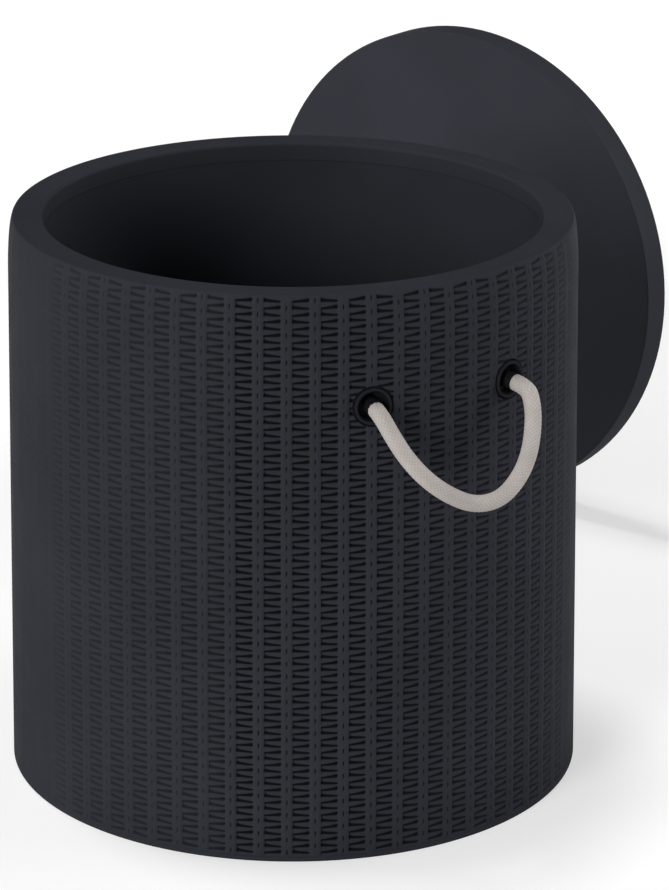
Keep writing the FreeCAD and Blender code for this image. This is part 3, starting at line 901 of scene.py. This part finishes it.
def make_weave_tree(cells):
    """Geometry nodes that lay the patches out flat, join them and bend the sheet round the tub."""
    tree = new_group(
        "Woven Wall",
        "GeometryNodeTree",
        {
            "First Column": 0.0,
            "Column Pitch": COLUMN_PITCH,
            "Row Pitch": ROW_PITCH,
            "First Slot Height": FIRST_SLOT_HEIGHT,
            "Base Radius": BASE_RADIUS,
            "Taper": TAPER,
            "Shoulder Start": SHOULDER_START,
            "Shoulder Inset": SHOULDER_INSET,
            "Tub Height": TUB_HEIGHT,
        },
        {"Geometry": "NodeSocketGeometry"},
    )
    tree.is_modifier = True
    source = tree.nodes.new("NodeGroupInput").outputs
    result = tree.nodes.new("NodeGroupOutput")
    instances = lay_patches(tree, source, cells)
    sheet = add(tree, "GeometryNodeRealizeInstances", {"Geometry": instances}).outputs["Geometry"]
    joined = add(tree, "GeometryNodeMergeByDistance", {"Geometry": sheet, "Distance": 0.02 * MM}).outputs[0]
    position = tree.nodes.new("GeometryNodeInputPosition").outputs[0]
    flat = add(tree, "ShaderNodeSeparateXYZ", {"Vector": position}).outputs
    from_first = reckon(tree, "DIVIDE", flat["X"], source["Base Radius"])
    azimuth = reckon(tree, "ADD", from_first, math.radians(FIRST_GROOVE_AZIMUTH))
    draught = draught_share(tree, azimuth)
    marked = add(
        tree,
        "GeometryNodeStoreNamedAttribute",
        {"Geometry": joined, "Name": "draught", "Value": draught},
        data_type="FLOAT",
        domain="POINT",
    ).outputs["Geometry"]
    bent = add(
        tree,
        "GeometryNodeSetPosition",
        {"Geometry": marked, "Position": bent_position(tree, source, flat, azimuth, draught)},
    ).outputs["Geometry"]
    dressed = add(tree, "GeometryNodeSetMaterial", {"Geometry": bent, "Material": WEAVE_PLASTIC})
    tree.links.new(dressed.outputs["Geometry"], result.inputs["Geometry"])
    return tree


def lay_patches(tree, source, cells):
    """A grid of points with the right patch on each: foot below the first row and rim above the last."""
    columns = COLUMNS // PANELS
    grid = add(
        tree,
        "GeometryNodeMeshGrid",
        {
            "Size X": reckon(tree, "MULTIPLY", source["Column Pitch"], columns - 1.0),
            "Size Y": reckon(tree, "MULTIPLY", source["Row Pitch"], ROWS + 1.0),
            "Vertices X": columns,
            "Vertices Y": ROWS + 2,
        },
    )
    middle_column = reckon(tree, "ADD", source["First Column"], columns / 2)
    middle_row = (ROWS - 1) / 2
    middle = add(
        tree,
        "ShaderNodeCombineXYZ",
        {
            "X": reckon(tree, "MULTIPLY", middle_column, source["Column Pitch"]),
            "Y": reckon(tree, "MULTIPLY_ADD", source["Row Pitch"], middle_row, source["First Slot Height"]),
        },
    )
    shift = {"Geometry": grid.outputs["Mesh"], "Translation": middle.outputs[0]}
    points = add(tree, "GeometryNodeTransform", shift)
    position = tree.nodes.new("GeometryNodeInputPosition").outputs[0]
    place = add(tree, "ShaderNodeSeparateXYZ", {"Vector": position}).outputs
    column = reckon(tree, "FLOOR", reckon(tree, "DIVIDE", place["X"], source["Column Pitch"]))
    above_first = reckon(tree, "SUBTRACT", place["Y"], source["First Slot Height"])
    row = reckon(tree, "ROUND", reckon(tree, "DIVIDE", above_first, source["Row Pitch"]))
    is_rim = reckon(tree, "GREATER_THAN", row, ROWS - 0.5)
    is_foot = reckon(tree, "LESS_THAN", row, -0.5)
    is_end = reckon(tree, "SUBTRACT", is_foot, is_rim)
    neighbour = reckon(tree, "ADD", row, is_end)
    place_in_chequer = reckon(tree, "ADD", reckon(tree, "ADD", column, neighbour), 1.0)
    falling = reckon(tree, "FLOORED_MODULO", place_in_chequer, 2.0)
    kind = reckon(tree, "MULTIPLY_ADD", is_rim, 2.0, reckon(tree, "MULTIPLY_ADD", is_foot, 4.0, falling))
    slip = reckon(tree, "MULTIPLY", reckon(tree, "MULTIPLY", source["Row Pitch"], 0.5), is_end)
    number = add(
        tree,
        "GeometryNodeStoreNamedAttribute",
        {"Geometry": points.outputs["Geometry"], "Name": "patch", "Value": kind},
        data_type="FLOAT",
        domain="POINT",
    )
    offset = add(tree, "ShaderNodeCombineXYZ", {"Y": slip}).outputs[0]
    moved = add(tree, "GeometryNodeSetPosition", {"Geometry": number.outputs["Geometry"], "Offset": offset})
    patches = add(
        tree,
        "GeometryNodeCollectionInfo",
        {"Collection": cells, "Separate Children": True, "Reset Children": True},
        transform_space="ORIGINAL",
    )
    chosen = add(tree, "GeometryNodeInputNamedAttribute", {"Name": "patch"}, data_type="FLOAT")
    index = add(tree, "FunctionNodeFloatToInt", {0: chosen.outputs["Attribute"]}, rounding_mode="ROUND")
    laid = add(
        tree,
        "GeometryNodeInstanceOnPoints",
        {
            "Points": moved.outputs["Geometry"],
            "Instance": patches.outputs["Instances"],
            "Pick Instance": True,
            "Instance Index": index.outputs[0],
        },
    )
    return laid.outputs["Instances"]


def draught_share(tree, azimuth):
    """How deep the slots are and how much of their painted shade shows: whole beside the handles, faint where
    the mould's halves met.

    Each step runs from one azimuth to another, in degrees, with the shares before and after it.
    """
    folded = reckon(tree, "FLOORED_MODULO", reckon(tree, "ADD", azimuth, math.pi / 2), math.pi)
    place = reckon(tree, "SUBTRACT", folded, math.pi / 2)
    share = 1.0
    for low, high, start, end in (
        (-90.0, -81.0, 0.15, 1.0),
        (-90.0, -50.0, 0.34, 1.0),
        (-46.0, -42.0, 0.68, 1.0),
        (-20.0, 30.0, 1.0, 0.5),
        (28.0, 44.0, 1.0, 0.08),
    ):
        step = ramp(tree, place, math.radians(low), math.radians(high), start, end)
        share = reckon(tree, "MULTIPLY", share, step)
    return share


def bent_position(tree, source, flat, azimuth, draught):
    """Where a point of the flat sheet goes: up the tapered wall, in at the shoulder and over the crest."""
    height = reckon(tree, "MINIMUM", flat["Y"], source["Tub Height"])
    over = reckon(tree, "SUBTRACT", flat["Y"], height)
    rise = reckon(tree, "MAXIMUM", reckon(tree, "SUBTRACT", height, source["Shoulder Start"]), 0.0)
    whole_rise = reckon(tree, "SUBTRACT", source["Tub Height"], source["Shoulder Start"])
    share = reckon(tree, "DIVIDE", rise, whole_rise)
    left = reckon(tree, "SUBTRACT", 1.0, reckon(tree, "MULTIPLY", share, share))
    arch = reckon(tree, "SQRT", reckon(tree, "MAXIMUM", left, 0.0))
    drawn_in = reckon(tree, "MULTIPLY", source["Shoulder Inset"], reckon(tree, "SUBTRACT", 1.0, arch))
    sunk = reckon(tree, "MULTIPLY", flat["Z"], draught)
    tip = ramp(tree, flat["Y"], TUB_HEIGHT - 0.003, TUB_HEIGHT + 0.003, 0.0, math.pi / 2, "SMOOTHSTEP")
    radius = source["Base Radius"]
    for taken in (reckon(tree, "MULTIPLY", source["Taper"], height), drawn_in, over):
        radius = reckon(tree, "SUBTRACT", radius, taken)
    radius = reckon(tree, "MULTIPLY_ADD", sunk, reckon(tree, "COSINE", tip), radius)
    top = reckon(tree, "MULTIPLY_ADD", sunk, reckon(tree, "SINE", tip), height)
    return add(
        tree,
        "ShaderNodeCombineXYZ",
        {
            "X": reckon(tree, "MULTIPLY", radius, reckon(tree, "COSINE", azimuth)),
            "Y": reckon(tree, "MULTIPLY", radius, reckon(tree, "SINE", azimuth)),
            "Z": top,
        },
    ).outputs[0]


def node_made_mesh(name, tree, inputs):
    """The plain mesh that a geometry node tree makes with these values for its named inputs."""
    maker = bpy.data.objects.new(name + "_maker", bpy.data.meshes.new(name + "_maker"))
    bpy.context.scene.collection.objects.link(maker)
    modifier = maker.modifiers.new("maker", "NODES")
    modifier.node_group = tree
    for item in tree.interface.items_tree:
        if item.in_out == "INPUT" and item.name in inputs:
            modifier[item.identifier] = inputs[item.name]
    mesh = finished_mesh(maker)
    mesh.name = name
    bpy.data.objects.remove(maker)
    return mesh


def cut_round_hole(sheet, centre, axis, radius, sides=22):
    """Cuts a round opening through the sheet."""
    near = {face for face in sheet.faces if (face.calc_center_median() - centre).length < radius * 1.6}
    up = Vector((0, 0, 1))
    along = axis.cross(up)
    for side in range(sides):
        angle = 2 * math.pi * (side + 0.5) / sides
        outward = along * math.cos(angle) + up * math.sin(angle)
        edge_point = centre + outward * radius
        geometry = list(near)
        geometry += list({edge for face in near for edge in face.edges})
        geometry += list({vertex for face in near for vertex in face.verts})
        cut = bmesh.ops.bisect_plane(sheet, geom=geometry, dist=1e-6, plane_co=edge_point, plane_no=outward)
        candidates = {item for item in cut["geom"] if isinstance(item, bmesh.types.BMFace)} | near
        near = {
            face
            for face in candidates
            if face.is_valid and (face.calc_center_median() - edge_point).dot(outward) < 0
        }
    bmesh.ops.delete(sheet, geom=list(near), context="FACES")


def turn_in_edges(sheet, depth):
    """Gives the sheet's open edges a wall that runs in towards the tub's axis."""
    edges = [edge for edge in sheet.edges if edge.is_boundary]
    for edge in edges:
        edge.smooth = False
    walls = bmesh.ops.extrude_edge_only(sheet, edges=edges)
    for item in walls["geom"]:
        if isinstance(item, bmesh.types.BMVert):
            across = math.hypot(item.co.x, item.co.y)
            share = (across - depth) / across
            item.co.x *= share
            item.co.y *= share


def make_weave_panels():
    """The woven wall in equal panels whose seams lie in the grooves of the upright strands."""
    cells = make_cells()
    tree = make_weave_tree(cells)
    panels = []
    for number in range(PANELS):
        name = f"woven_wall_{number + 1}"
        mesh = node_made_mesh(name, tree, {"First Column": float(number * COLUMNS // PANELS)})
        sheet = bmesh.new()
        sheet.from_mesh(mesh)
        first = FIRST_GROOVE_AZIMUTH + number * 360 / PANELS
        for azimuth in HOLES.values():
            if (azimuth - first) % 360 < 360 / PANELS:
                axis = outward_at(azimuth)
                centre = axis * SEAT_REACH + Vector((0, 0, HANDLE_HEIGHT))
                cut_round_hole(sheet, centre, axis, SEAT_RADIUS)
        turn_in_edges(sheet, PANEL_EDGE_DEPTH)
        sheet.to_mesh(mesh)
        sheet.free()
        panel = bpy.data.objects.new(name, mesh)
        bpy.context.scene.collection.objects.link(panel)
        dress(panel, WEAVE_PLASTIC, "tub")
        panels.append(panel)
    for cell in list(cells.objects):
        bpy.data.objects.remove(cell)
    bpy.data.collections.remove(cells)
    return panels


# Shell behind the weave

def make_shell_core():
    """The smooth shell under the weave: foot lip, wall, rim and inner lip, with the rope holes."""
    heights = [FOOT_LIP_HEIGHT + CORE_WALL_GAP]
    heights += [SHOULDER_START * share / 6 for share in range(1, 7)]
    shoulder = TUB_HEIGHT - RELIEF_ROOM - SHOULDER_START
    heights += [SHOULDER_START + shoulder * share / 8 for share in range(1, 9)]
    step_radius = tub_radius(TUB_HEIGHT) - (WEAVE_TOP + RIM_RUN - TUB_HEIGHT)
    wall = [(tub_radius(height) - RELIEF_ROOM, height, 0) for height in heights]
    profile = rounded(
        [
            (BASE_RADIUS - WALL, 0, 0.0005),
            (BASE_RADIUS, 0, 0.0008),
            (tub_radius(FOOT_LIP_HEIGHT), FOOT_LIP_HEIGHT, 0.0006),
            (BASE_RADIUS - RELIEF_ROOM, FOOT_LIP_HEIGHT + FOOT_LIP_EASE, 0),
        ]
        + wall
        + [
            (step_radius, TUB_HEIGHT - RELIEF_ROOM, 0),
            (step_radius, TUB_HEIGHT, 0),
            (MOUTH_RADIUS, TUB_HEIGHT, 0.0028),
            (MOUTH_RADIUS, TUB_HEIGHT - LIP_DEPTH, 0.0004),
            (MOUTH_RADIUS + WALL, TUB_HEIGHT - LIP_DEPTH, 0.0004),
            (MOUTH_RADIUS + WALL, TUB_HEIGHT - WALL, 0),
            (TOP_RADIUS - RIM_CORNER_INSET, TUB_HEIGHT - WALL, 0),
            (tub_radius(SHOULDER_START) - WALL, SHOULDER_START, 0),
        ],
        5,
    )
    core = turned_piece("shell_core", profile)
    for azimuth in HOLES.values():
        drill(core, azimuth)
    core.data.set_sharp_from_angle(angle=SHARP_ANGLE)
    return dress(core, SHELL_PLASTIC, "tub")


def drill(piece, azimuth):
    """Cuts a rope hole through the wall."""
    radius = GROMMET_TUBE_RADIUS + DRILL_CLEARANCE
    profile = [
        Vector((0, -DRILL_REACH)),
        Vector((radius, -DRILL_REACH)),
        Vector((radius, DRILL_REACH)),
        Vector((0, DRILL_REACH)),
    ]
    cutter = placed(turned_piece("drill", profile, 48), collar_place(azimuth))
    modifier = piece.modifiers.new("hole", "BOOLEAN")
    modifier.operation = "DIFFERENCE"
    modifier.solver = "EXACT"
    modifier.object = cutter
    mesh = finished_mesh(piece)
    piece.modifiers.remove(modifier)
    old = piece.data
    piece.data = mesh
    bpy.data.meshes.remove(old)
    bpy.data.objects.remove(cutter)


def make_seat(place, azimuth):
    """The sunk land round a collar: a ring between it and the weave, painted near black as shade."""
    outside = SEAT_RADIUS + 0.0001
    profile = rounded([
        (GROMMET_TUBE_RADIUS, -SEAT_DEPTH, 0),
        (outside, -SEAT_DEPTH, 0),
        (outside, -SEAT_SUNK, 0.0005),
        (GROMMET_TUBE_RADIUS, -SEAT_SUNK, 0),
    ])
    seat = placed(turned_piece("collar_seat_" + place, profile, 72), collar_place(azimuth))
    return dress(seat, SHADED_SEAT_PLASTIC, "tub")


# Studio

def make_floor():
    """A plain pale floor that the camera sees nearly white, with the shadows on it."""
    size = 12.0
    corners = [(-size, -size, 0), (size, -size, 0), (size, size, 0), (-size, size, 0)]
    floor = new_piece("floor", corners, [(0, 1, 2, 3)])
    material, tree, shader = new_material("floor_paint", {"Roughness": 0.9, "Specular IOR Level": 0.0})
    shader.inputs["Base Color"].default_value = FLOOR_COLOUR
    seen = tree.nodes.new("ShaderNodeLightPath").outputs["Is Camera Ray"]
    lift = add(tree, "ShaderNodeEmission", {"Color": (1, 1, 1, 1), "Strength": FLOOR_GLOW})
    share = reckon(tree, "MULTIPLY", seen, FLOOR_GLOW_SHARE)
    mixed = add(tree, "ShaderNodeMixShader", {0: share, 1: shader.outputs[0], 2: lift.outputs[0]})
    tree.links.new(mixed.outputs[0], tree.nodes["Material Output"].inputs["Surface"])
    floor.data.materials.append(material)


def make_world():
    """Even soft light, with a white backdrop for the camera."""
    world = bpy.data.worlds.new("studio")
    world.use_nodes = True
    tree = world.node_tree
    tree.nodes.clear()
    seen = tree.nodes.new("ShaderNodeLightPath").outputs["Is Camera Ray"]
    light = add(tree, "ShaderNodeBackground", {"Color": (1, 1, 1, 1), "Strength": WORLD_LIGHT})
    backdrop = add(tree, "ShaderNodeBackground", {"Color": (1, 1, 1, 1), "Strength": BACKDROP_LIGHT})
    mixed = add(tree, "ShaderNodeMixShader", {0: seen, 1: light.outputs[0], 2: backdrop.outputs[0]})
    result = add(tree, "ShaderNodeOutputWorld", {"Surface": mixed.outputs[0]})
    result.is_active_output = True
    bpy.context.scene.world = world


def make_light(name, azimuth, elevation, energy, softness):
    """A large soft lamp far away in this direction, in degrees."""
    data = bpy.data.lights.new(name, "SUN")
    data.energy = energy
    data.angle = math.radians(softness)
    lamp = bpy.data.objects.new(name, data)
    bpy.context.scene.collection.objects.link(lamp)
    turn = math.radians(azimuth)
    rise = math.radians(elevation)
    from_where = Vector((math.cos(turn) * math.cos(rise), math.sin(turn) * math.cos(rise), math.sin(rise)))
    lamp.rotation_euler = from_where.to_track_quat("Z", "Y").to_euler()


bpy.context.scene.view_settings.view_transform = "Standard"

make_camera()
make_world()
for name, (azimuth, elevation, energy, softness) in LAMPS.items():
    make_light(name, azimuth, elevation, energy, softness)
make_floor()
make_handle("right", 1)
make_handle("left", -1)
core = make_shell_core()
panels = make_weave_panels()
for piece in [core] + panels:
    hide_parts("outer_shell")
for place, azimuth in HOLES.items():
    make_stopper(place, azimuth)
    make_seat(place, azimuth)
    dress_node("rope_grommet_" + place, SHADED_GROMMET_PLASTIC)

NODE_MATERIALS = {
    "inner_liner": LINER_PLASTIC,
    "base_plate": BASE_PLASTIC,
    "base_screws": SCREW_STEEL,
    "wall_insulation": FOAM,
    "floor_insulation": FOAM,
    "drain_plug": PLUG_RUBBER,
    "lid_top": LID_PLASTIC,
    "lid_underside": LID_PLASTIC,
    "lid_insulation": FOAM,
}
for name, material in NODE_MATERIALS.items():
    dress_node(name, material)
